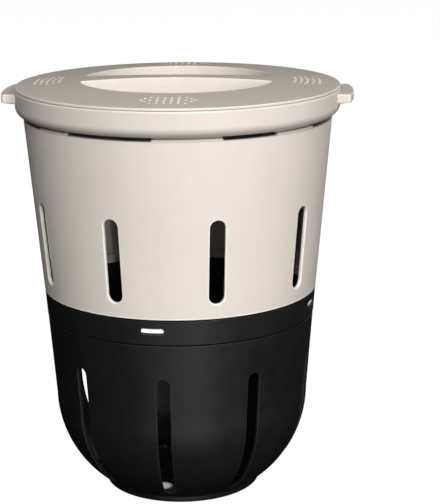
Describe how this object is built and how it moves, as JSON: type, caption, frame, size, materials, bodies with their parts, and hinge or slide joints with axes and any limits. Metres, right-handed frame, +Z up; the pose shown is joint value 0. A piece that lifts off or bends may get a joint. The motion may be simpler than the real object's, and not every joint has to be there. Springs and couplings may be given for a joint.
{
  "type": "underground compost bin",
  "caption": "In-ground compost bin: slotted bowl-bottomed basket, slotted upper bin, lugged collar and a domed vented cap with finger wells.",
  "frame": {"origin": "middle of the foot, on the ground", "axes": "+Z up through the cap; the lugs and the cap's grip bar lie along X; -Y is the front"},
  "size_m": [0.347, 0.321, 0.4178],
  "materials": {
    "basket_plastic": "satin moulded, near black",
    "bin_plastic": "satin moulded, stone beige",
    "tongue_plastic": "satin moulded, stone beige",
    "collar_plastic": "satin moulded, stone beige",
    "cap_plastic": "fine matt texture, stone beige"
  },
  "bodies": {
    "basket": {"basket": "basket_plastic"},
    "upper_bin": {"upper_bin": "bin_plastic"},
    "tongue_front": {"snap_tongue_front": "tongue_plastic"},
    "tongue_right": {"snap_tongue_right": "tongue_plastic"},
    "tongue_back": {"snap_tongue_back": "tongue_plastic"},
    "tongue_left": {"snap_tongue_left": "tongue_plastic"},
    "collar": {"collar": "collar_plastic"},
    "cap": {"cap": "cap_plastic"}
  },
  "joints": [
    {"name": "bin_lift", "type": "slide", "parent": "basket", "child": "upper_bin", "axis": [0, 0, 1], "range_m": [0, 0.06]},
    {"name": "tongue_front_flex", "type": "hinge", "parent": "upper_bin", "child": "tongue_front", "pos_m": [-0.01701, -0.12918, 0.2117], "axis": [0.9914, -0.1305, 0], "range_deg": [0, 9], "stiffness_Nm_per_rad": 0.05},
    {"name": "tongue_right_flex", "type": "hinge", "parent": "upper_bin", "child": "tongue_right", "pos_m": [0.12643, -0.03152, 0.2117], "axis": [0.2419, 0.9703, 0], "range_deg": [0, 9], "stiffness_Nm_per_rad": 0.05},
    {"name": "tongue_back_flex", "type": "hinge", "parent": "upper_bin", "child": "tongue_back", "pos_m": [0.00682, 0.13012, 0.2117], "axis": [-0.9986, 0.0523, 0], "range_deg": [0, 9], "stiffness_Nm_per_rad": 0.05},
    {"name": "tongue_left_flex", "type": "hinge", "parent": "upper_bin", "child": "tongue_left", "pos_m": [-0.12643, 0.03152, 0.2117], "axis": [-0.2419, -0.9703, 0], "range_deg": [0, 9], "stiffness_Nm_per_rad": 0.05},
    {"name": "collar_lift", "type": "slide", "parent": "upper_bin", "child": "collar", "axis": [0, 0, 1], "range_m": [0, 0.05]},
    {"name": "cap_lift", "type": "slide", "parent": "collar", "child": "cap", "axis": [0, 0, 1], "range_m": [0, 0.06]}
  ]
}
